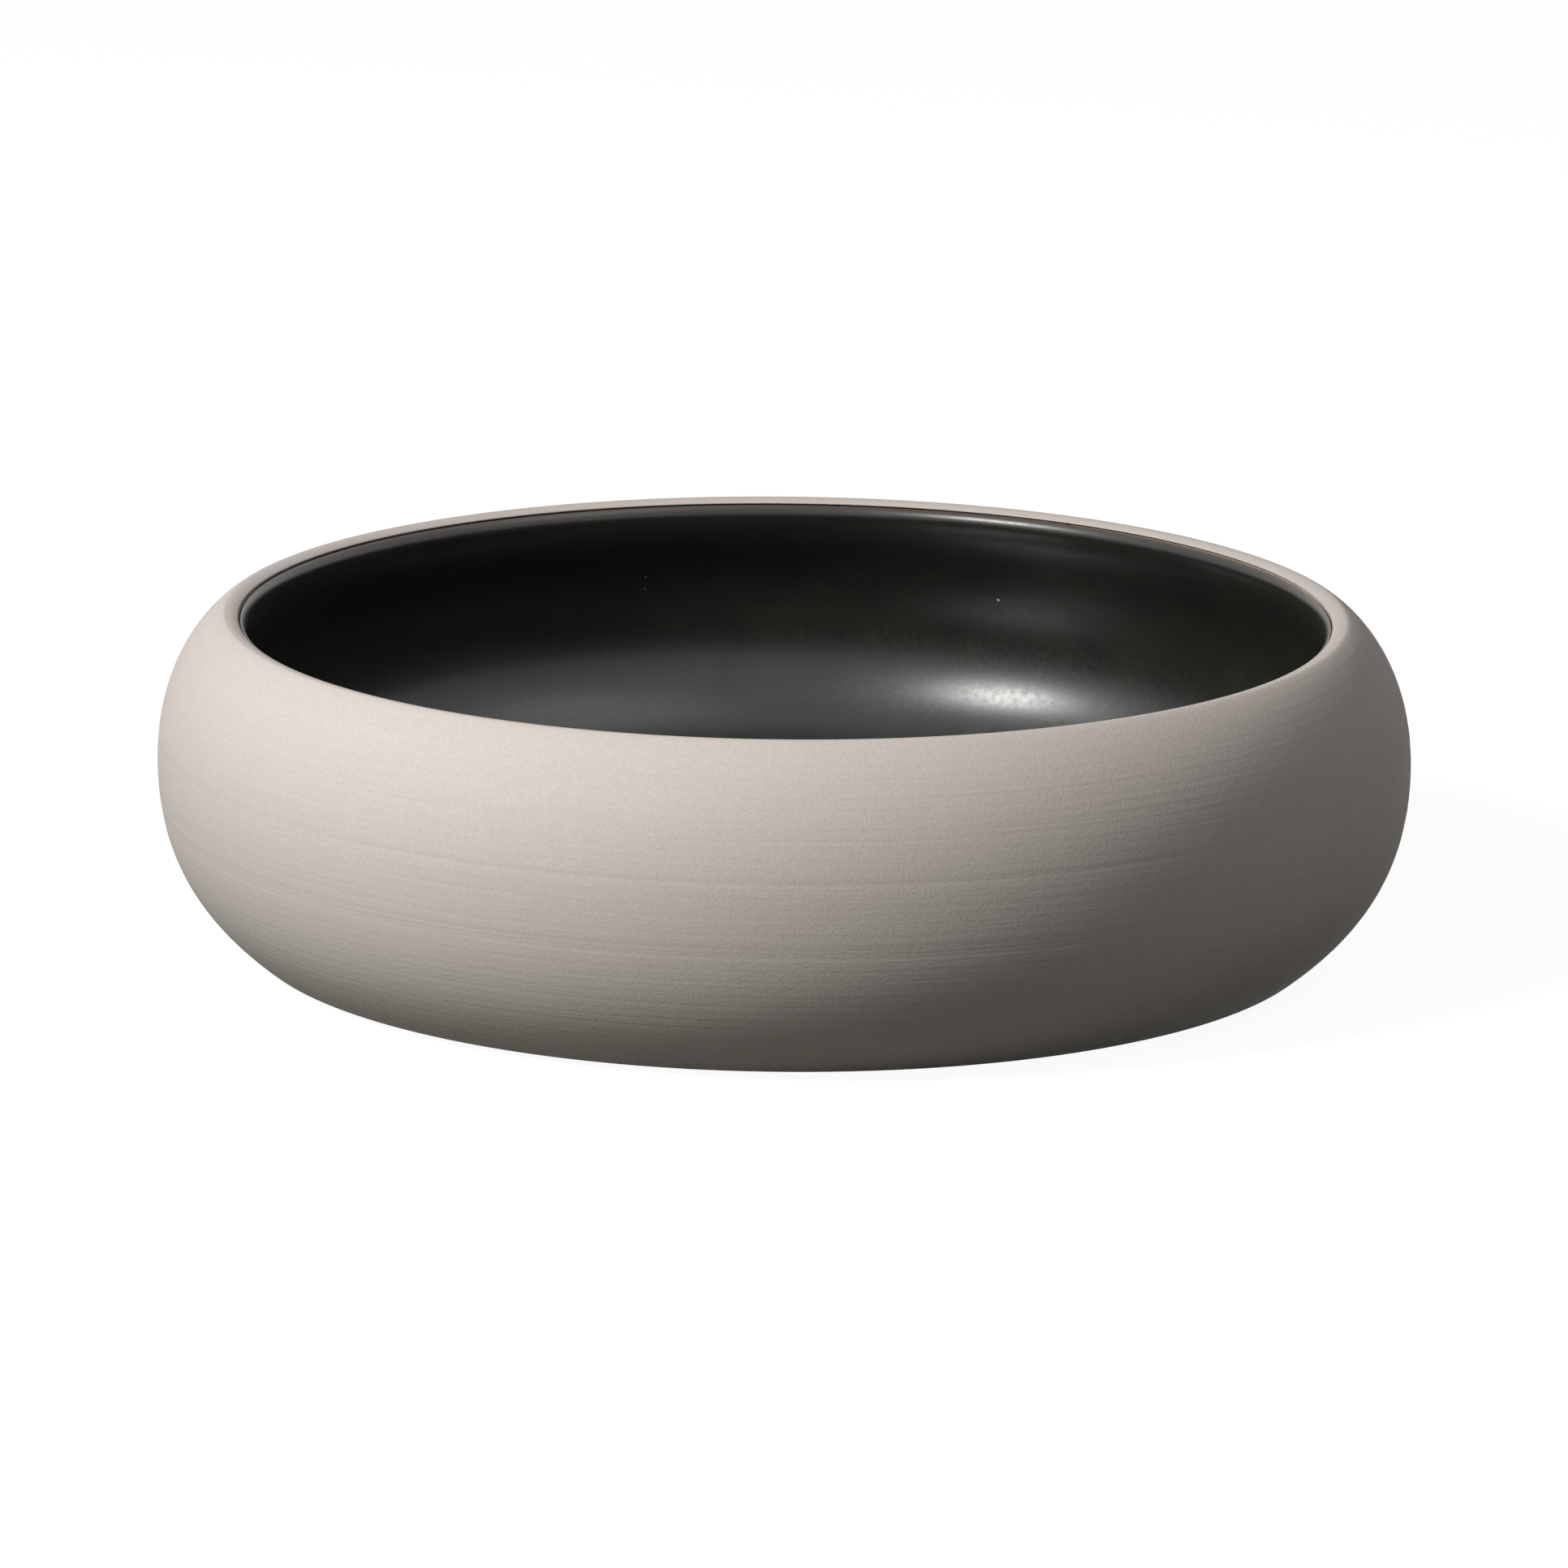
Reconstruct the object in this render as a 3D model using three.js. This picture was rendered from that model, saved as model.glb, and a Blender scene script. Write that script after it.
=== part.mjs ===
// A wide, shallow stoneware serving bowl with an inward-curving rim.
// Millimetres, +Z up. The origin is the centre of the ring it stands on, on the table's plane.
import * as THREE from 'three';

// Overall outer form
const BELLY_RADIUS = 140;
const BELLY_HEIGHT = 42.6;
const BASE_RADIUS = 119.7;
const CREST_RADIUS = 125;
const CREST_HEIGHT = 75.4;

// How the outer curve leaves the base, passes the belly and turns over at the rim
const BASE_FLARE = 16;
const BASE_FLARE_ANGLE = THREE.MathUtils.degToRad(37.5);
const BELLY_PULL_DOWN = 19.2;
const BELLY_PULL_UP = 23;
const CREST_PULL = 1.8;

// Lip: a round crest, then a tighter turn down into the bowl where the black glaze begins
const LIP_RADIUS = 5.6;
const LIP_BAND_ANGLE = THREE.MathUtils.degToRad(40);
const INNER_LIP_RADIUS = 3;

// Wall and floor
const WALL = 7;
const FLOOR = 7.5;
const FLOOR_FLAT_RADIUS = 88;
const FLOOR_DISH = 0.6;
const FLOOR_CORNER_PULL = 32;
const INNER_BELLY_PULL_DOWN = 17;
const INNER_BELLY_PULL_UP = 15;
const INNER_LIP_PULL = 7;

// Fired coats, and the clearance each keeps from the clay under it
const SLIP = 0.5;
const GLAZE = 0.5;
const COAT_CLEARANCE = 0.3;

// Foot ring, luted under the floor; the base edge stays clear of the table
const FOOT_STAND = 1.5;
const FOOT_SETBACK = 7.7;
const FOOT_WIDTH = 12;
const FOOT_CLEARANCE = 0.3;
const FOOT_EDGE = 0.4;

// Smoothness
const TURNS = 40;
const CURVE_STEPS = 6;
const LIP_STEPS = 3;

const { Vector2 } = THREE;

/** Points along a cubic curve, without its first point. */
function curvePoints(start, startPull, endPull, end, steps) {
  return new THREE.CubicBezierCurve(start, startPull, endPull, end).getPoints(steps).slice(1);
}

/** Points along an arc about a centre, without its first point; angles are from straight up towards the axis. */
function lipArc(centre, radius, from, to, steps) {
  return Array.from({ length: steps }, (_, i) => {
    const angle = from + ((to - from) * (i + 1)) / steps;
    return new Vector2(centre.x - radius * Math.sin(angle), centre.y + radius * Math.cos(angle));
  });
}

/** The same line moved to the left of its direction of travel by a distance. */
function offsetLeft(points, distance) {
  return points.map((point, i) => {
    const before = points[Math.max(i - 1, 0)];
    const after = points[Math.min(i + 1, points.length - 1)];
    const along = after.clone().sub(before).normalize();
    return new Vector2(point.x - along.y * distance, point.y + along.x * distance);
  });
}

/** A solid turned about Z from a closed outline of (radius, height) points. */
function turned(name, outline, color, roughness) {
  const loop = [...outline];
  const onAxis = loop[0].x === 0 && loop[loop.length - 1].x === 0;
  if (!onAxis) loop.push(loop[0].clone());
  const geometry = new THREE.LatheGeometry(loop, TURNS);
  geometry.rotateX(Math.PI / 2);
  const material = new THREE.MeshStandardMaterial({ color, roughness, metalness: 0 });
  const mesh = new THREE.Mesh(geometry, material);
  mesh.name = name;
  return mesh;
}

// Outer surface, from the base edge over the belly to the lip crest and on to the glaze edge
const baseEdge = new Vector2(BASE_RADIUS, FOOT_STAND);
const belly = new Vector2(BELLY_RADIUS, BELLY_HEIGHT);
const crest = new Vector2(CREST_RADIUS, CREST_HEIGHT);
const lipCentre = new Vector2(CREST_RADIUS, CREST_HEIGHT - LIP_RADIUS);
const baseFlare = new Vector2(
  baseEdge.x + BASE_FLARE * Math.cos(BASE_FLARE_ANGLE),
  baseEdge.y + BASE_FLARE * Math.sin(BASE_FLARE_ANGLE),
);
const outerSurface = [
  baseEdge,
  ...curvePoints(baseEdge, baseFlare, new Vector2(belly.x, belly.y - BELLY_PULL_DOWN), belly, CURVE_STEPS),
  ...curvePoints(
    belly,
    new Vector2(belly.x, belly.y + BELLY_PULL_UP),
    new Vector2(crest.x + CREST_PULL, crest.y),
    crest,
    CURVE_STEPS,
  ),
  ...lipArc(lipCentre, LIP_RADIUS, 0, LIP_BAND_ANGLE, LIP_STEPS),
];
const glazeEdge = outerSurface[outerSurface.length - 1];

// Inner surface, from the glaze edge round the lip, down the wall and over the floor to the axis
const innerLipCentre = new Vector2(
  glazeEdge.x + INNER_LIP_RADIUS * Math.sin(LIP_BAND_ANGLE),
  glazeEdge.y - INNER_LIP_RADIUS * Math.cos(LIP_BAND_ANGLE),
);
const lipTurn = lipArc(innerLipCentre, INNER_LIP_RADIUS, LIP_BAND_ANGLE, Math.PI / 2, LIP_STEPS);
const underLip = lipTurn[lipTurn.length - 1];
const innerBelly = new Vector2(BELLY_RADIUS - WALL, BELLY_HEIGHT);
const floorTop = FOOT_STAND + FLOOR;
const floorEdge = new Vector2(FLOOR_FLAT_RADIUS, floorTop);
const innerSurface = [
  glazeEdge,
  ...lipTurn,
  ...curvePoints(
    underLip,
    new Vector2(underLip.x, underLip.y - INNER_LIP_PULL),
    new Vector2(innerBelly.x, innerBelly.y + INNER_BELLY_PULL_UP),
    innerBelly,
    CURVE_STEPS,
  ),
  ...curvePoints(
    innerBelly,
    new Vector2(innerBelly.x, innerBelly.y - INNER_BELLY_PULL_DOWN),
    new Vector2(floorEdge.x + FLOOR_CORNER_PULL, floorEdge.y),
    floorEdge,
    CURVE_STEPS,
  ),
];
const floorCentre = new Vector2(0, floorTop - FLOOR_DISH);

// Clay under both coats
const slipSeat = offsetLeft(outerSurface, SLIP + COAT_CLEARANCE);
const glazeSeat = offsetLeft(innerSurface, GLAZE + COAT_CLEARANCE);
const clayFloorCentre = new Vector2(0, floorCentre.y - GLAZE - COAT_CLEARANCE);
const clayBase = new Vector2(
  BASE_RADIUS - (SLIP + COAT_CLEARANCE) / Math.sin(BASE_FLARE_ANGLE),
  FOOT_STAND,
);
const clayOutline = [
  new Vector2(0, FOOT_STAND),
  clayBase,
  ...slipSeat.slice(1, -1),
  ...glazeSeat,
  clayFloorCentre,
];

// Slip coat: the outside, from the base edge over the crest to just short of the glaze
const slipUnderside = offsetLeft(outerSurface, SLIP);
const slipOutline = [...outerSurface.slice(0, -1), ...slipUnderside.slice(0, -1).reverse()];

// Glaze coat: from the lip down the wall and over the whole floor
const glazeUnderside = offsetLeft(innerSurface, GLAZE);
const glazeOutline = [
  new Vector2(0, floorCentre.y - GLAZE),
  ...glazeUnderside.reverse(),
  ...innerSurface,
  floorCentre,
];

// Foot ring, with its standing edges softened
const footOuter = BASE_RADIUS - FOOT_SETBACK;
const footInner = footOuter - FOOT_WIDTH;
const footTop = FOOT_STAND - FOOT_CLEARANCE;
const footOutline = [
  new Vector2(footInner + FOOT_EDGE, 0),
  new Vector2(footOuter - FOOT_EDGE, 0),
  new Vector2(footOuter, FOOT_EDGE),
  new Vector2(footOuter, footTop),
  new Vector2(footInner, footTop),
  new Vector2(footInner, FOOT_EDGE),
];

const bowl = new THREE.Group();
bowl.add(turned('clay_body', clayOutline, 0xb9ada2, 0.9));
bowl.add(turned('foot_ring', footOutline, 0xb3a697, 0.92));
bowl.add(turned('exterior_slip', slipOutline, 0xd6cdc6, 0.85));
bowl.add(turned('interior_glaze', glazeOutline, 0x161715, 0.32));

export default bowl;
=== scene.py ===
"""A wide stoneware serving bowl: matte grey slip outside, black satin glaze inside."""
import logging
import math
from dataclasses import dataclass, field
from enum import Enum

import bmesh
import bpy
from mathutils import Matrix, Vector


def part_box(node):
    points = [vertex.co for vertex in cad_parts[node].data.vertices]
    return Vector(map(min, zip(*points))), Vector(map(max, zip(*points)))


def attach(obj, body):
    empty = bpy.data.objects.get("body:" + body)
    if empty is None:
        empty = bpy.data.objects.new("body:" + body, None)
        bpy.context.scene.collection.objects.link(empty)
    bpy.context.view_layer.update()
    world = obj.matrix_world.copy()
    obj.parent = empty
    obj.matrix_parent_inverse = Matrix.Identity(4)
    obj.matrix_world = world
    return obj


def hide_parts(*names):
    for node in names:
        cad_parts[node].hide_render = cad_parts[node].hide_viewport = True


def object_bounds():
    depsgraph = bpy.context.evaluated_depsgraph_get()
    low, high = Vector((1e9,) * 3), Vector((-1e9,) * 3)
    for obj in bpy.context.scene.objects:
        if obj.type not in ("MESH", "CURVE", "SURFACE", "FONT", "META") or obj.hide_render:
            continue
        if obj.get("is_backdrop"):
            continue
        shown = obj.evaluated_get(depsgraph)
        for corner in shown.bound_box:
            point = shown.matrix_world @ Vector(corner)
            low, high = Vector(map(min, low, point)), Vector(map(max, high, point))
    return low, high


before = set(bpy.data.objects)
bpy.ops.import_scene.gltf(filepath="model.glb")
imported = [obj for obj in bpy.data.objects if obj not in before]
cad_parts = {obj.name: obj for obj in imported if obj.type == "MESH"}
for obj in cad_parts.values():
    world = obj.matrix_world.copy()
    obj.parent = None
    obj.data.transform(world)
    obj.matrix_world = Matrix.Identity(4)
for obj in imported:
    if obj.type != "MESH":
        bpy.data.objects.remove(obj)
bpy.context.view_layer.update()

log = logging.getLogger("bowl")

Point = tuple[float, float]
Span = tuple[float, float]
Colour = tuple[float, float, float]
Socket = bpy.types.NodeSocket
MM = 0.001
BODY = "root"
WELD_DISTANCE = 1e-7

# The part of a noise's range that the finishes spread out
NOISE_LOW = 0.3
NOISE_HIGH = 0.7
NOISE_SPAN = (NOISE_LOW, NOISE_HIGH)

# A Mix node's sockets for colours, by number, because their names repeat
MIX_SHARE = 0
MIX_FIRST = 6
MIX_SECOND = 7
MIX_RESULT = 2


class Slot(Enum):
    """The record's material slots."""

    CLAY = "clay"
    FOOT = "bare_foot"
    SLIP = "grey_slip"
    GLAZE = "black_glaze"


def cubic(start: Point, pull_out: Point, pull_in: Point, end: Point, steps: int) -> list[Point]:
    """Points along a cubic curve, without its first point.

    Args:
        start: Where the curve starts.
        pull_out: The handle that the start leaves towards.
        pull_in: The handle that the end comes from.
        end: Where the curve ends.
        steps: How many points to return.

    Returns:
        The points, as radius and height.
    """
    a, b, c, d = (Vector(p) for p in (start, pull_out, pull_in, end))
    points = []
    for i in range(1, steps + 1):
        t = i / steps
        s = 1 - t
        p = a * s ** 3 + b * 3 * s * s * t + c * 3 * s * t * t + d * t ** 3
        points.append((p.x, p.y))
    return points


def lip_arc(centre: Point, radius: float, start: float, end: float, steps: int) -> list[Point]:
    """Points along an arc over the lip, without its first point.

    Args:
        centre: The arc's centre.
        radius: The arc's radius.
        start: Its first angle, from straight up towards the axis.
        end: Its last angle.
        steps: How many points to return.

    Returns:
        The points, as radius and height.
    """
    angles = [start + (end - start) * (i + 1) / steps for i in range(steps)]
    return [(centre[0] - radius * math.sin(a), centre[1] + radius * math.cos(a)) for a in angles]


def moved_left(points: list[Point], distance: float) -> list[Point]:
    """The same line moved to the left of its direction of travel.

    Args:
        points: The line's points.
        distance: How far to move it.

    Returns:
        The moved points.
    """
    moved = []
    for i, point in enumerate(points):
        before, after = points[max(i - 1, 0)], points[min(i + 1, len(points) - 1)]
        along = (Vector(after) - Vector(before)).normalized()
        moved.append((point[0] - along.y * distance, point[1] + along.x * distance))
    return moved


@dataclass
class BowlForm:
    """The bowl's turned outline, in metres, around the frame's own axis."""

    belly_radius: float = field(default_factory=lambda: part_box("exterior_slip")[1][0])
    top: float = field(default_factory=lambda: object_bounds()[1][2])
    stand: float = field(default_factory=lambda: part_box("clay_body")[0][2])
    belly_height: float = 42.6 * MM
    base_radius: float = 119.7 * MM
    crest_radius: float = 125 * MM
    flare: float = 16 * MM
    flare_angle: float = math.radians(37.5)
    lip_radius: float = 5.6 * MM
    lip_band: float = math.radians(40)
    inner_lip: float = 3 * MM
    wall: float = 7 * MM
    floor: float = 7.5 * MM
    floor_flat: float = 88 * MM
    coat: float = 0.5 * MM
    clearance: float = 0.3 * MM
    belly_pull_down: float = 19.2 * MM
    belly_pull_up: float = 23 * MM
    crest_pull: float = 1.8 * MM
    inner_lip_pull: float = 7 * MM
    inner_belly_pull_up: float = 15 * MM
    inner_belly_pull_down: float = 17 * MM
    floor_corner_pull: float = 32 * MM
    floor_dish: float = 0.6 * MM
    lip_steps: int = 8

    def outer(self, steps: int) -> list[Point]:
        """The outside, from the base edge to the glaze edge.

        Args:
            steps: Points on each of the two wall curves.

        Returns:
            The points, as radius and height.
        """
        base = (self.base_radius, self.stand)
        belly = (self.belly_radius, self.belly_height)
        crest = (self.crest_radius, self.top)
        leave = (
            base[0] + self.flare * math.cos(self.flare_angle),
            base[1] + self.flare * math.sin(self.flare_angle),
        )
        below_belly = (belly[0], belly[1] - self.belly_pull_down)
        above_belly = (belly[0], belly[1] + self.belly_pull_up)
        before_crest = (crest[0] + self.crest_pull, crest[1])
        lip_centre = (crest[0], crest[1] - self.lip_radius)
        points = [base]
        points += cubic(base, leave, below_belly, belly, steps)
        points += cubic(belly, above_belly, before_crest, crest, steps)
        points += lip_arc(lip_centre, self.lip_radius, 0, self.lip_band, self.lip_steps)
        return points

    def inner(self, steps: int) -> list[Point]:
        """The inside, from the glaze edge to the floor's flat.

        Args:
            steps: Points on each of the two wall curves.

        Returns:
            The points, as radius and height.
        """
        edge = self.outer(steps)[-1]
        centre = (
            edge[0] + self.inner_lip * math.sin(self.lip_band),
            edge[1] - self.inner_lip * math.cos(self.lip_band),
        )
        points = [edge] + lip_arc(centre, self.inner_lip, self.lip_band, math.pi / 2, self.lip_steps)
        under = points[-1]
        belly = (self.belly_radius - self.wall, self.belly_height)
        flat = (self.floor_flat, self.stand + self.floor)
        below_lip = (under[0], under[1] - self.inner_lip_pull)
        above_belly = (belly[0], belly[1] + self.inner_belly_pull_up)
        below_belly = (belly[0], belly[1] - self.inner_belly_pull_down)
        before_flat = (flat[0] + self.floor_corner_pull, flat[1])
        points += cubic(under, below_lip, above_belly, belly, steps)
        points += cubic(belly, below_belly, before_flat, flat, steps)
        return points

    @property
    def floor_centre(self) -> Point:
        """The lowest point of the glazed floor, on the axis."""
        return (0.0, self.stand + self.floor - self.floor_dish)


@dataclass(frozen=True)
class Wave:
    """A wave up the wall: its turn in radians per millimetre, its share, and its phase in radians."""

    turn: float
    share: float = 1.0
    phase: float = 0.0

    def at(self, height_mm: float) -> float:
        """The wave's value at a height above the table."""
        return self.share * math.sin(height_mm * self.turn + self.phase)


@dataclass(frozen=True)
class TurningMarks:
    """Shallow lines that turning leaves round the outside: fine waves, and a few cut grooves.

    The marks fade over the outline's first fade_in points and its last fade_out points.
    """

    depth: float = 0.022 * MM
    waves: tuple[Wave, ...] = (Wave(3.1), Wave(5.3, share=0.7, phase=1.2), Wave(1.17, share=0.5))
    wave_share: float = 0.32
    groove_heights_mm: tuple[float, ...] = (31.2, 32.2, 33.2, 47.5)
    groove_width_mm: float = 0.35
    groove_share: float = 3.0
    fade_in: int = 12
    fade_out: int = 16

    def grooves(self, height_mm: float) -> float:
        """How far a height lies in a groove, from 0 to about 1."""
        offsets = [(height_mm - level) / self.groove_width_mm for level in self.groove_heights_mm]
        return sum(math.exp(-offset ** 2) for offset in offsets)

    def cut(self, points: list[Point]) -> list[Point]:
        """The outline with the marks, faded out at both ends.

        Args:
            points: The smooth outline.

        Returns:
            The outline with the marks cut in.
        """
        marked = []
        last = len(points) - 1
        for i, (r, z) in enumerate(points):
            height_mm = z / MM
            fade = min(1.0, i / self.fade_in, (last - i) / self.fade_out)
            ripple = sum(wave.at(height_mm) for wave in self.waves)
            mark = self.wave_share * ripple - self.groove_share * self.grooves(height_mm)
            marked.append((r + self.depth * fade * mark, z))
        return marked


def spun(name: str, outline: list[Point], closed: bool, steps: int) -> bpy.types.Object:
    """A piece turned about the bowl's axis.

    Args:
        name: The piece's name.
        outline: Its outline, as radius and height.
        closed: Whether the outline joins its own start; otherwise both ends lie on the axis.
        steps: How many sides the full turn has.

    Returns:
        The new object, at the origin.
    """
    bm = bmesh.new()
    verts = [bm.verts.new((r, 0.0, z)) for r, z in outline]
    edges = [bm.edges.new(pair) for pair in zip(verts, verts[1:])]
    if closed:
        edges.append(bm.edges.new((verts[-1], verts[0])))
    bmesh.ops.spin(
        bm, geom=verts + edges, cent=(0, 0, 0), axis=(0, 0, 1), dvec=(0, 0, 0),
        angle=math.tau, steps=steps, use_merge=True, use_duplicate=False,
    )
    bmesh.ops.remove_doubles(bm, verts=bm.verts, dist=WELD_DISTANCE)
    bmesh.ops.recalc_face_normals(bm, faces=bm.faces)
    for face in bm.faces:
        face.smooth = True
    mesh = bpy.data.meshes.new(name)
    bm.to_mesh(mesh)
    bm.free()
    piece = bpy.data.objects.new(name, mesh)
    bpy.context.scene.collection.objects.link(piece)
    return piece


def new_group(name: str, inputs: dict[str, float], output: str) -> bpy.types.NodeTree:
    """A node group with a Vector input, number inputs and one value out.

    Args:
        name: The group's name.
        inputs: The number inputs and their defaults.
        output: The name of the output.

    Returns:
        The group, holding its input and output nodes.
    """
    tree = bpy.data.node_groups.new(name, "ShaderNodeTree")
    tree.interface.new_socket("Vector", in_out="INPUT", socket_type="NodeSocketVector")
    for label, value in inputs.items():
        socket = tree.interface.new_socket(label, in_out="INPUT", socket_type="NodeSocketFloat")
        socket.default_value = value
    tree.interface.new_socket(output, in_out="OUTPUT", socket_type="NodeSocketFloat")
    tree.nodes.new("NodeGroupInput")
    tree.nodes.new("NodeGroupOutput")
    return tree


def turning_group() -> bpy.types.NodeTree:
    """Fine lines round the bowl: noise squeezed along its height.

    Returns:
        The group, with inputs for lines per metre of height and for their run round the bowl.
    """
    tree = new_group("turning_lines", {"Lines": 900.0, "Run": 9.0}, "Height")
    nodes, links = tree.nodes, tree.links
    source, sink = nodes["Group Input"], nodes["Group Output"]
    squeeze = nodes.new("ShaderNodeCombineXYZ")
    links.new(source.outputs["Run"], squeeze.inputs["X"])
    links.new(source.outputs["Run"], squeeze.inputs["Y"])
    links.new(source.outputs["Lines"], squeeze.inputs["Z"])
    stretch = nodes.new("ShaderNodeVectorMath")
    stretch.operation = "MULTIPLY"
    links.new(source.outputs["Vector"], stretch.inputs[0])
    links.new(squeeze.outputs["Vector"], stretch.inputs[1])
    noise = nodes.new("ShaderNodeTexNoise")
    noise.inputs["Scale"].default_value = 1.0
    noise.inputs["Detail"].default_value = 3.0
    links.new(stretch.outputs["Vector"], noise.inputs["Vector"])
    links.new(noise.outputs["Fac"], sink.inputs["Height"])
    return tree


def speck_group() -> bpy.types.NodeTree:
    """Small round specks, each at its own place, as a mask of 0 to 1.

    Returns:
        The group, with inputs for cells per metre, a speck's radius in cells and the share of cells with one.
    """
    tree = new_group("specks", {"Scale": 60.0, "Size": 0.05, "Share": 0.1}, "Mask")
    nodes, links = tree.nodes, tree.links
    source, sink = nodes["Group Input"], nodes["Group Output"]
    cells = nodes.new("ShaderNodeTexVoronoi")
    links.new(source.outputs["Vector"], cells.inputs["Vector"])
    links.new(source.outputs["Scale"], cells.inputs["Scale"])
    near = nodes.new("ShaderNodeMath")
    near.operation = "LESS_THAN"
    links.new(cells.outputs["Distance"], near.inputs[0])
    links.new(source.outputs["Size"], near.inputs[1])
    tint = nodes.new("ShaderNodeSeparateColor")
    links.new(cells.outputs["Color"], tint.inputs["Color"])
    chosen = nodes.new("ShaderNodeMath")
    chosen.operation = "LESS_THAN"
    links.new(tint.outputs["Red"], chosen.inputs[0])
    links.new(source.outputs["Share"], chosen.inputs[1])
    both = nodes.new("ShaderNodeMath")
    both.operation = "MULTIPLY"
    links.new(near.outputs[0], both.inputs[0])
    links.new(chosen.outputs[0], both.inputs[1])
    links.new(both.outputs[0], sink.inputs["Mask"])
    return tree


@dataclass
class FinishTools:
    """The node groups that the finishes share."""

    turning: bpy.types.NodeTree = field(default_factory=turning_group)
    specks: bpy.types.NodeTree = field(default_factory=speck_group)


@dataclass(frozen=True)
class Relief:
    """One layer of a surface's bump: its height socket, its strength, and its depth in metres."""

    height: Socket
    strength: float
    depth: float


class Board:
    """One material's nodes, with short ways to add them."""

    def __init__(self, name: str) -> None:
        """Starts a material with a Principled shader and Object coordinates.

        Args:
            name: The material's name.
        """
        self.material = bpy.data.materials.new(name)
        self.material.use_nodes = True
        self.nodes = self.material.node_tree.nodes
        self.links = self.material.node_tree.links
        self.shader = self.nodes["Principled BSDF"]
        self.place = self.nodes.new("ShaderNodeTexCoord").outputs["Object"]

    def noise(self, scale: float, detail: float = 4.0) -> Socket:
        """A noise value over the piece.

        Args:
            scale: Features per metre.
            detail: Octaves.

        Returns:
            The value's socket.
        """
        node = self.nodes.new("ShaderNodeTexNoise")
        node.inputs["Scale"].default_value = scale
        node.inputs["Detail"].default_value = detail
        self.links.new(self.place, node.inputs["Vector"])
        return node.outputs["Fac"]

    def group(self, tree: bpy.types.NodeTree, values: dict[str, float]) -> Socket:
        """A shared group's output, on Object coordinates.

        Args:
            tree: The node group.
            values: Its number inputs.

        Returns:
            The group's only output.
        """
        node = self.nodes.new("ShaderNodeGroup")
        node.node_tree = tree
        self.links.new(self.place, node.inputs["Vector"])
        for label, value in values.items():
            node.inputs[label].default_value = value
        return node.outputs[0]

    def height(self) -> Socket:
        """The height above the table.

        Returns:
            The height's socket, in metres.
        """
        split = self.nodes.new("ShaderNodeSeparateXYZ")
        self.links.new(self.place, split.inputs[0])
        return split.outputs["Z"]

    def ramp(self, value: Socket, stops: list[tuple[float, Colour]]) -> Socket:
        """A colour picked by a value.

        Args:
            value: The value, 0 to 1.
            stops: Positions and linear colours.

        Returns:
            The colour's socket.
        """
        node = self.nodes.new("ShaderNodeValToRGB")
        elements = node.color_ramp.elements
        while len(elements) < len(stops):
            elements.new(0.5)
        for element, (position, colour) in zip(elements, stops):
            element.position = position
            element.color = (*colour, 1.0)
        self.links.new(value, node.inputs["Fac"])
        return node.outputs["Color"]

    def spread(self, value: Socket, source: Span, target: Span) -> Socket:
        """A value taken from one range to another, clamped.

        Args:
            value: The value.
            source: The range that it comes from.
            target: The range that it goes to.

        Returns:
            The new value's socket.
        """
        node = self.nodes.new("ShaderNodeMapRange")
        for label, number in zip(("From Min", "From Max", "To Min", "To Max"), (*source, *target)):
            node.inputs[label].default_value = number
        self.links.new(value, node.inputs["Value"])
        return node.outputs["Result"]

    def mix(self, share: Socket | float, first: Colour | Socket, second: Colour | Socket) -> Socket:
        """Two colours mixed.

        Args:
            share: How much of the second shows.
            first: A colour or its socket.
            second: A colour or its socket.

        Returns:
            The mixed colour's socket.
        """
        node = self.nodes.new("ShaderNodeMix")
        node.data_type = "RGBA"
        for number, value in ((MIX_SHARE, share), (MIX_FIRST, first), (MIX_SECOND, second)):
            socket = node.inputs[number]
            if isinstance(value, Socket):
                self.links.new(value, socket)
            elif isinstance(value, tuple):
                socket.default_value = (*value, 1.0)
            else:
                socket.default_value = value
        return node.outputs[MIX_RESULT]

    def bump(self, layers: list[Relief]) -> None:
        """Raises the surface by several layers.

        Args:
            layers: The layers, lowest first.
        """
        last = None
        for layer in layers:
            node = self.nodes.new("ShaderNodeBump")
            node.inputs["Strength"].default_value = layer.strength
            node.inputs["Distance"].default_value = layer.depth
            self.links.new(layer.height, node.inputs["Height"])
            if last is not None:
                self.links.new(last, node.inputs["Normal"])
            last = node.outputs["Normal"]
        self.links.new(last, self.shader.inputs["Normal"])

    def feed(self, label: str, value: Socket) -> None:
        """Feeds one of the shader's inputs."""
        self.links.new(value, self.shader.inputs[label])


@dataclass(frozen=True)
class ClayFinish:
    """Dry fired stoneware, slightly sandy."""

    name: str
    light: Colour = (0.50, 0.42, 0.34)
    dark: Colour = (0.36, 0.30, 0.24)
    speck: Colour = (0.12, 0.09, 0.07)
    roughness: Span = (0.82, 0.95)

    def build(self, tools: FinishTools) -> bpy.types.Material:
        """Builds the material from the shared groups.

        Args:
            tools: The node groups.

        Returns:
            The finished material.
        """
        board = Board(self.name)
        patch = board.ramp(board.noise(scale=40.0), [(NOISE_LOW, self.dark), (NOISE_HIGH, self.light)])
        specks = board.group(tools.specks, {"Scale": 260.0, "Size": 0.22, "Share": 0.08})
        board.feed("Base Color", board.mix(specks, patch, self.speck))
        board.feed("Roughness", board.spread(board.noise(scale=300.0), NOISE_SPAN, self.roughness))
        board.bump([Relief(board.noise(scale=1400.0), strength=0.4, depth=0.2 * MM)])
        return board.material


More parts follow.
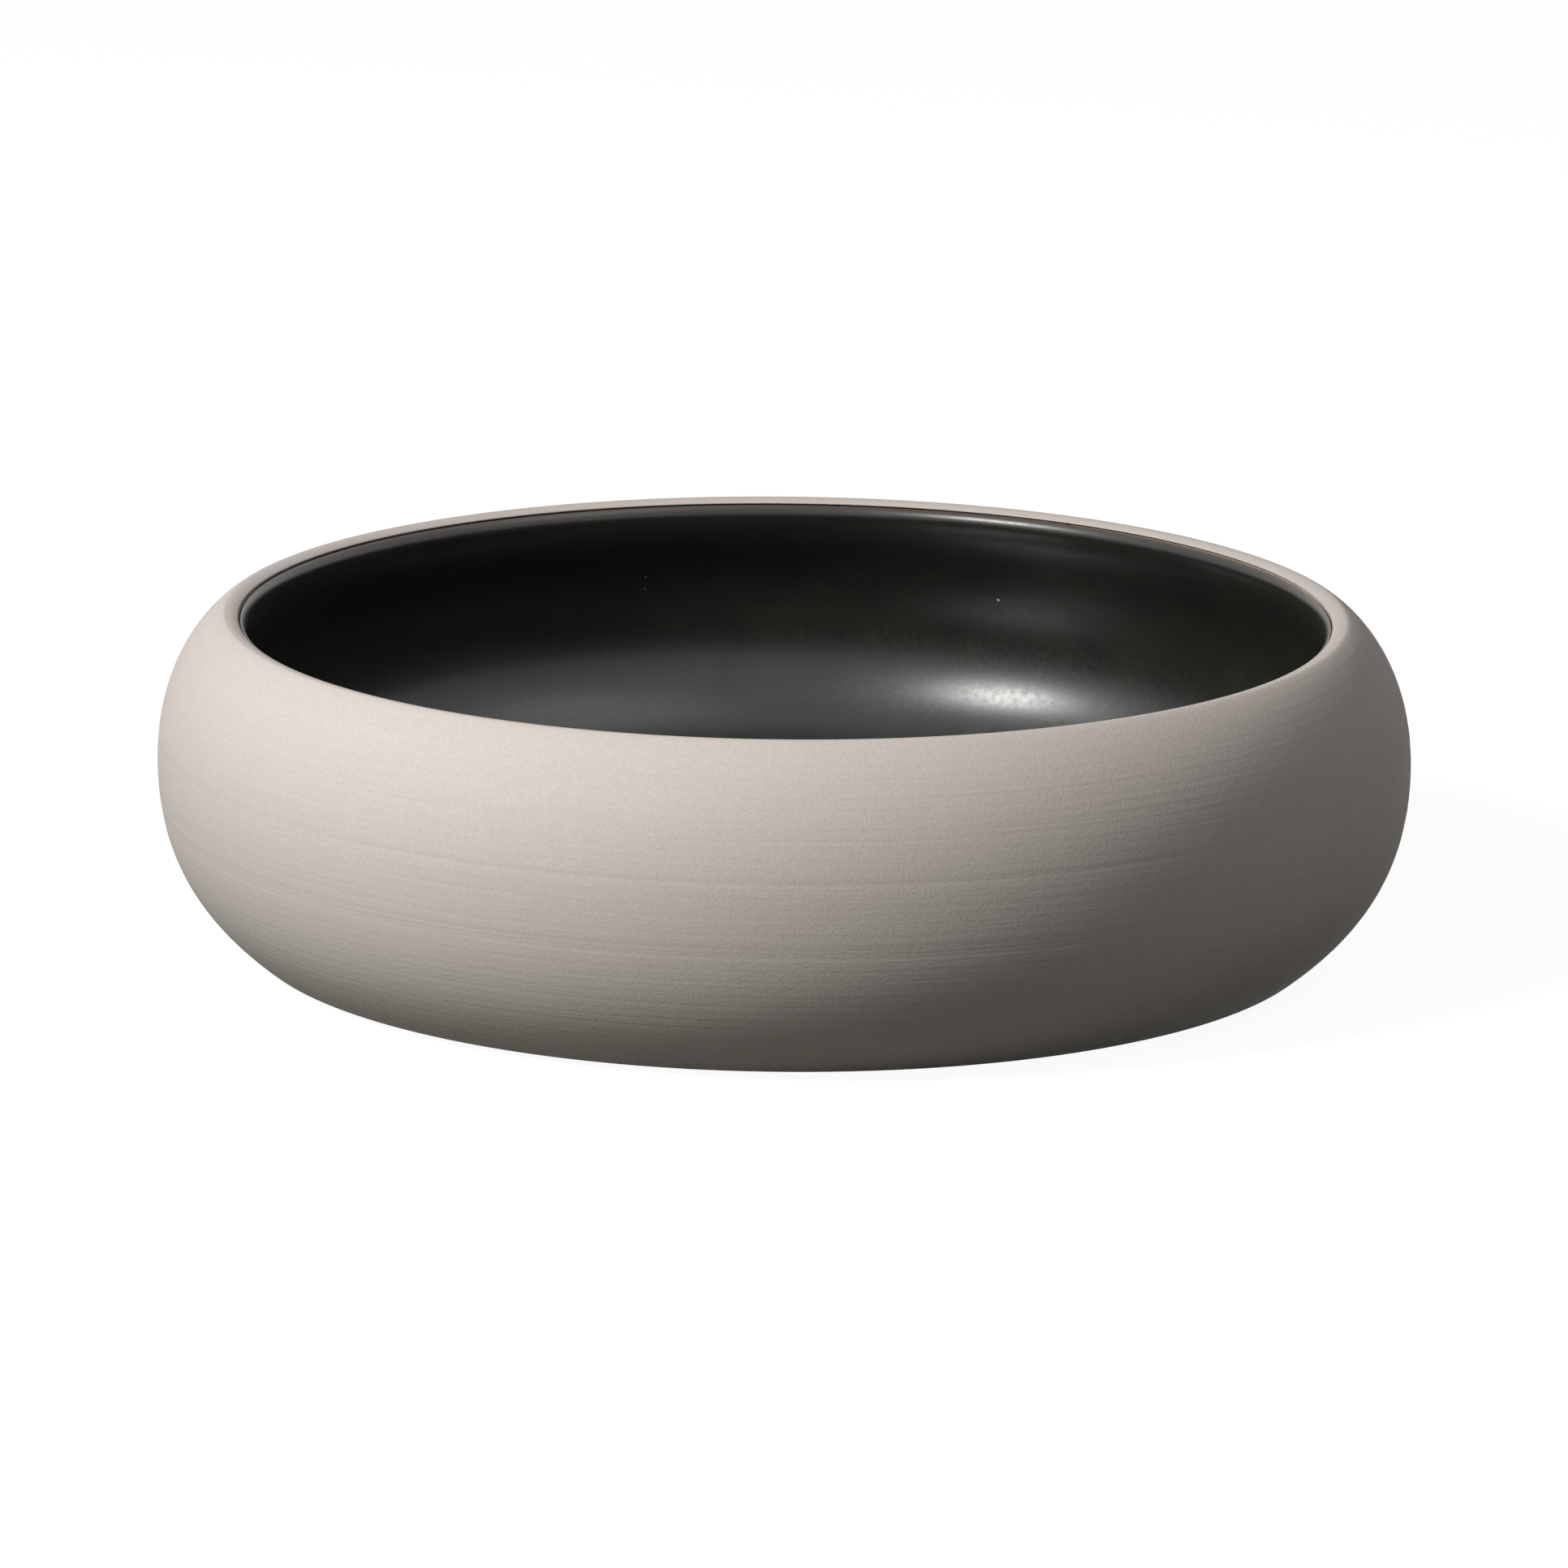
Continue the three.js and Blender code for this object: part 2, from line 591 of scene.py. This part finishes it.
@dataclass(frozen=True)
class SlipFinish:
    """Matte warm grey slip: pinkish on the shoulder, olive lower down, with turning lines and specks. Its
    tone also darkens from the shoulder to the foot as painted shade, where the wall turns down away from the
    light.

    top is the bowl's height in metres, over which the tone changes.
    """

    top: float
    name: str = "warm_grey_slip"
    # The shoulder, middle and foot colours darken downwards: painted shade where the wall turns down away
    # from the light, on top of the slip's change of hue from pinkish to olive.
    shoulder: Colour = (0.72, 0.655, 0.615)
    middle: Colour = (0.66, 0.615, 0.57)
    foot: Colour = (0.56, 0.545, 0.50)
    band: Colour = (0.42, 0.40, 0.36)
    ridge: Colour = (0.86, 0.82, 0.77)
    grit: Colour = (0.40, 0.37, 0.34)
    speck: Colour = (0.10, 0.08, 0.065)
    band_span: Span = (0.35, 0.65)
    band_share: float = 0.07
    ridge_share: float = 0.06
    grit_share: float = 0.22
    roughness: Span = (0.78, 0.92)
    specular: float = 0.25

    def build(self, tools: FinishTools) -> bpy.types.Material:
        """Builds the material from the shared groups.

        Args:
            tools: The node groups.

        Returns:
            The finished material.
        """
        board = Board(self.name)
        rise = board.spread(board.height(), (0.0, self.top), (0.0, 1.0))
        # Painted shade: the tone darkens by height from the shoulder colour down to the foot colour.
        tone = board.ramp(rise, [(0.05, self.foot), (0.45, self.middle), (0.85, self.shoulder)])
        bands = board.group(tools.turning, {"Lines": 160.0, "Run": 5.0})
        lines = board.group(tools.turning, {"Lines": 1500.0, "Run": 14.0})
        grain = board.noise(scale=1500.0, detail=2.0)
        tone = board.mix(board.spread(bands, self.band_span, (0.0, self.band_share)), tone, self.band)
        tone = board.mix(board.spread(lines, NOISE_SPAN, (0.0, self.ridge_share)), tone, self.ridge)
        tone = board.mix(board.spread(grain, NOISE_SPAN, (0.0, self.grit_share)), tone, self.grit)
        specks = board.group(tools.specks, {"Scale": 70.0, "Size": 0.03, "Share": 0.07})
        board.feed("Base Color", board.mix(specks, tone, self.speck))
        board.feed("Roughness", board.spread(board.noise(scale=500.0), NOISE_SPAN, self.roughness))
        board.shader.inputs["Specular IOR Level"].default_value = self.specular
        board.bump([
            Relief(lines, strength=0.28, depth=0.14 * MM),
            Relief(grain, strength=0.35, depth=0.16 * MM),
        ])
        return board.material


@dataclass(frozen=True)
class GlazeFinish:
    """Black satin glaze, mottled, breaking to brown where it thins at its edge.

    edge_span holds the heights between which it turns brown.
    """

    name: str = "black_satin_glaze"
    black: Colour = (0.010, 0.0105, 0.0088)
    olive: Colour = (0.018, 0.0185, 0.0145)
    rust: Colour = (0.060, 0.034, 0.020)
    speck: Colour = (0.45, 0.44, 0.42)
    edge_span: Span = (73.1 * MM, 74.3 * MM)
    roughness: Span = (0.29, 0.36)
    specular: float = 0.62

    def build(self, tools: FinishTools) -> bpy.types.Material:
        """Builds the material from the shared groups.

        Args:
            tools: The node groups.

        Returns:
            The finished material.
        """
        board = Board(self.name)
        tone = board.ramp(board.noise(scale=60.0), [(NOISE_LOW, self.black), (NOISE_HIGH, self.olive)])
        thin = board.spread(board.height(), self.edge_span, (0.0, 1.0))
        tone = board.mix(thin, tone, self.rust)
        specks = board.group(tools.specks, {"Scale": 120.0, "Size": 0.05, "Share": 0.05})
        board.feed("Base Color", board.mix(specks, tone, self.speck))
        board.feed("Roughness", board.spread(board.noise(scale=700.0), NOISE_SPAN, self.roughness))
        board.shader.inputs["Specular IOR Level"].default_value = self.specular
        lines = board.group(tools.turning, {"Lines": 500.0, "Run": 10.0})
        grain = board.noise(scale=2200.0, detail=2.0)
        board.bump([
            Relief(grain, strength=0.10, depth=0.06 * MM),
            Relief(lines, strength=0.06, depth=0.1 * MM),
        ])
        return board.material


@dataclass
class Bowl:
    """The clay, its two coats and its foot ring."""

    form: BowlForm = field(default_factory=BowlForm)
    marks: TurningMarks = field(default_factory=TurningMarks)
    sides: int = 192
    slip_steps: int = 140
    slip_under_stride: int = 6
    glaze_steps: int = 40
    clay_steps: int = 24
    foot_setback: float = 7.7 * MM
    foot_width: float = 12 * MM
    foot_soften: float = 0.5 * MM
    foot_corner_share: float = 0.3

    def dress(self, piece: bpy.types.Object, node: str, material: bpy.types.Material) -> None:
        """Gives a piece its finish, and says its body and the CAD node that it stands for.

        Args:
            piece: The piece.
            node: The CAD node that it stands for.
            material: Its finish.
        """
        piece.data.materials.append(material)
        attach(piece, BODY)
        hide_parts(node)
        log.info("%s stands for %s", piece.name, node)

    def slip(self, tools: FinishTools) -> None:
        """Makes the slip coat, with the turning lines cut into its outside.

        Args:
            tools: The node groups that its finish uses.
        """
        outside = self.form.outer(self.slip_steps)
        under = moved_left(outside, self.form.coat)
        outline = self.marks.cut(outside)[:-1] + under[:-1:self.slip_under_stride][::-1]
        piece = spun("slip_coat", outline, True, self.sides)
        self.dress(piece, "exterior_slip", SlipFinish(self.form.top).build(tools))

    def glaze(self, tools: FinishTools) -> None:
        """Makes the glaze coat, over the lip's inner edge, the wall and the floor.

        Args:
            tools: The node groups that its finish uses.
        """
        inside = self.form.inner(self.glaze_steps)
        under = moved_left(inside, self.form.coat)
        centre = self.form.floor_centre
        outline = [(0.0, centre[1] - self.form.coat), *under[::-1], *inside, centre]
        piece = spun("glaze_coat", outline, False, self.sides)
        self.dress(piece, "interior_glaze", GlazeFinish().build(tools))

    def clay(self, tools: FinishTools) -> None:
        """Makes the clay wall and floor between the coats.

        Args:
            tools: The node groups that its finish uses.
        """
        gap = self.form.coat + self.form.clearance
        outside = moved_left(self.form.outer(self.clay_steps), gap)
        inside = moved_left(self.form.inner(self.clay_steps), gap)
        base = (self.form.base_radius - gap / math.sin(self.form.flare_angle), self.form.stand)
        centre = (0.0, self.form.floor_centre[1] - gap)
        outline = [(0.0, self.form.stand), base, *outside[1:-1], *inside, centre]
        piece = spun("clay_wall", outline, False, self.sides)
        self.dress(piece, "clay_body", ClayFinish("fired_clay").build(tools))

    def foot(self, tools: FinishTools) -> None:
        """Makes the foot ring, with soft standing edges.

        Args:
            tools: The node groups that its finish uses.
        """
        outer = self.form.base_radius - self.foot_setback
        inner = outer - self.foot_width
        top = self.form.stand - self.form.clearance
        soft = self.foot_soften
        corner = soft * self.foot_corner_share
        outline = [
            (inner + soft, 0.0), (outer - soft, 0.0), (outer - corner, corner), (outer, soft),
            (outer, top), (inner, top), (inner, soft), (inner + corner, corner),
        ]
        piece = spun("standing_ring", outline, True, self.sides)
        finish = ClayFinish("bare_foot_clay", light=(0.48, 0.40, 0.31), dark=(0.34, 0.27, 0.21))
        self.dress(piece, "foot_ring", finish.build(tools))

    def build(self, tools: FinishTools) -> None:
        """Builds every piece in order.

        Args:
            tools: The node groups that the finishes share.
        """
        for step in (self.clay, self.foot, self.slip, self.glaze):
            step(tools)


@dataclass
class Studio:
    """The camera at the photograph's angle, a soft key light, a weak one on the right, and a pale floor."""

    distance: float = 2.24
    elevation: float = math.radians(13.33)
    dip: float = math.radians(0.167)
    roll: float = math.radians(0.558)
    lens_mm: float = 229.8
    pivot: float = 42.6 * MM
    key_turn: float = math.radians(53)
    key_rise: float = math.radians(38)
    lamp_away: float = 1.8
    key_size: float = 0.5
    key_power: float = 29.0
    side_turn: float = math.radians(-62)
    side_rise: float = math.radians(56)
    side_size: float = 1.2
    side_power: float = 4.0
    lamp_colour: Colour = (1.0, 0.985, 0.965)
    fill: float = 0.05
    fill_colour: Colour = (0.97, 0.98, 1.0)
    background: Colour = (1.0, 1.0, 1.0)
    floor_radius: float = 6.0
    floor_sides: int = 96
    floor_bounce: Colour = (0.17, 0.17 * 0.93, 0.17 * 0.86)
    floor_shown: Colour = (0.22, 0.22, 0.22)
    floor_glow: float = 0.94
    sensor_mm: float = 36.0

    def camera(self) -> None:
        """Places the camera: it faces a point a little below the belly's height, and leans a little."""
        data = bpy.data.cameras.new("camera")
        data.sensor_width = self.sensor_mm
        data.lens = self.lens_mm
        eye = bpy.data.objects.new("camera", data)
        bpy.context.scene.collection.objects.link(eye)
        back = Vector((0.0, -math.cos(self.elevation), math.sin(self.elevation)))
        spot = Vector((0.0, 0.0, self.pivot)) + back * self.distance
        tilt = Matrix.Rotation(math.pi / 2 - self.elevation - self.dip, 4, "X")
        eye.matrix_world = Matrix.Translation(spot) @ tilt @ Matrix.Rotation(self.roll, 4, "Z")
        bpy.context.scene.camera = eye

    def lamp(self, name: str, turn: float, rise: float, size: float, power: float) -> None:
        """Places a round soft lamp that faces the bowl.

        Args:
            name: The lamp's name.
            turn: How far round to the left of the camera it stands.
            rise: How high it stands, as an angle.
            size: Its diameter.
            power: Its power in watts.
        """
        data = bpy.data.lights.new(name, "AREA")
        data.shape = "DISK"
        data.size = size
        data.energy = power
        data.color = self.lamp_colour
        lamp = bpy.data.objects.new(name, data)
        bpy.context.scene.collection.objects.link(lamp)
        flat = math.cos(rise)
        aim = Vector((-math.sin(turn) * flat, -math.cos(turn) * flat, math.sin(rise)))
        turned = aim.to_track_quat("Z", "Y").to_matrix().to_4x4()
        lamp.matrix_world = Matrix.Translation(aim * self.lamp_away) @ turned

    def lights(self) -> None:
        """Places the key light, up to the left and in front, and a weak one on the right."""
        self.lamp("key", self.key_turn, self.key_rise, self.key_size, self.key_power)
        self.lamp("side", self.side_turn, self.side_rise, self.side_size, self.side_power)

    def seen_or_glossy(self, nodes: bpy.types.Nodes, links: bpy.types.NodeLinks) -> Socket:
        """Whether a ray comes from the camera, a gloss or glass.

        Args:
            nodes: The tree's nodes.
            links: The tree's links.

        Returns:
            A socket that is 1 for such rays.
        """
        path = nodes.new("ShaderNodeLightPath")
        value = path.outputs["Is Camera Ray"]
        for label in ("Is Glossy Ray", "Is Transmission Ray"):
            either = nodes.new("ShaderNodeMath")
            either.operation = "MAXIMUM"
            links.new(value, either.inputs[0])
            links.new(path.outputs[label], either.inputs[1])
            value = either.outputs[0]
        return value

    def world(self) -> None:
        """A white background that lights the object only softly."""
        world = bpy.data.worlds.new("world")
        world.use_nodes = True
        bpy.context.scene.world = world
        nodes, links = world.node_tree.nodes, world.node_tree.links
        soft = nodes["Background"]
        soft.inputs["Color"].default_value = (*self.fill_colour, 1.0)
        soft.inputs["Strength"].default_value = self.fill
        white = nodes.new("ShaderNodeBackground")
        white.inputs["Color"].default_value = (*self.background, 1.0)
        either = nodes.new("ShaderNodeMixShader")
        links.new(self.seen_or_glossy(nodes, links), either.inputs[0])
        links.new(soft.outputs[0], either.inputs[1])
        links.new(white.outputs[0], either.inputs[2])
        links.new(either.outputs[0], nodes["World Output"].inputs["Surface"])

    def floor(self) -> None:
        """A pale floor that keeps the bowl's shadow."""
        bm = bmesh.new()
        bmesh.ops.create_circle(bm, cap_ends=True, segments=self.floor_sides, radius=self.floor_radius)
        mesh = bpy.data.meshes.new("studio_floor")
        bm.to_mesh(mesh)
        bm.free()
        floor = bpy.data.objects.new("studio_floor", mesh)
        bpy.context.scene.collection.objects.link(floor)
        material = bpy.data.materials.new("studio_floor")
        material.use_nodes = True
        nodes, links = material.node_tree.nodes, material.node_tree.links
        nodes.remove(nodes["Principled BSDF"])
        shown = nodes.new("ShaderNodeBsdfDiffuse")
        shown.inputs["Color"].default_value = (*self.floor_shown, 1.0)
        glow = nodes.new("ShaderNodeEmission")
        glow.inputs["Strength"].default_value = self.floor_glow
        both = nodes.new("ShaderNodeAddShader")
        links.new(shown.outputs[0], both.inputs[0])
        links.new(glow.outputs[0], both.inputs[1])
        bounce = nodes.new("ShaderNodeBsdfDiffuse")
        bounce.inputs["Color"].default_value = (*self.floor_bounce, 1.0)
        either = nodes.new("ShaderNodeMixShader")
        links.new(self.seen_or_glossy(nodes, links), either.inputs[0])
        links.new(bounce.outputs[0], either.inputs[1])
        links.new(both.outputs[0], either.inputs[2])
        links.new(either.outputs[0], nodes["Material Output"].inputs["Surface"])
        mesh.materials.append(material)
        floor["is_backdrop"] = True

    def build(self) -> None:
        """Sets up everything around the bowl."""
        bpy.context.scene.view_settings.view_transform = "Standard"
        for step in (self.camera, self.lights, self.world, self.floor):
            step()


def main() -> None:
    """Builds the studio and the bowl."""
    logging.basicConfig(level=logging.INFO)
    Studio().build()
    Bowl().build(FinishTools())


if __name__ == "__main__":
    main()
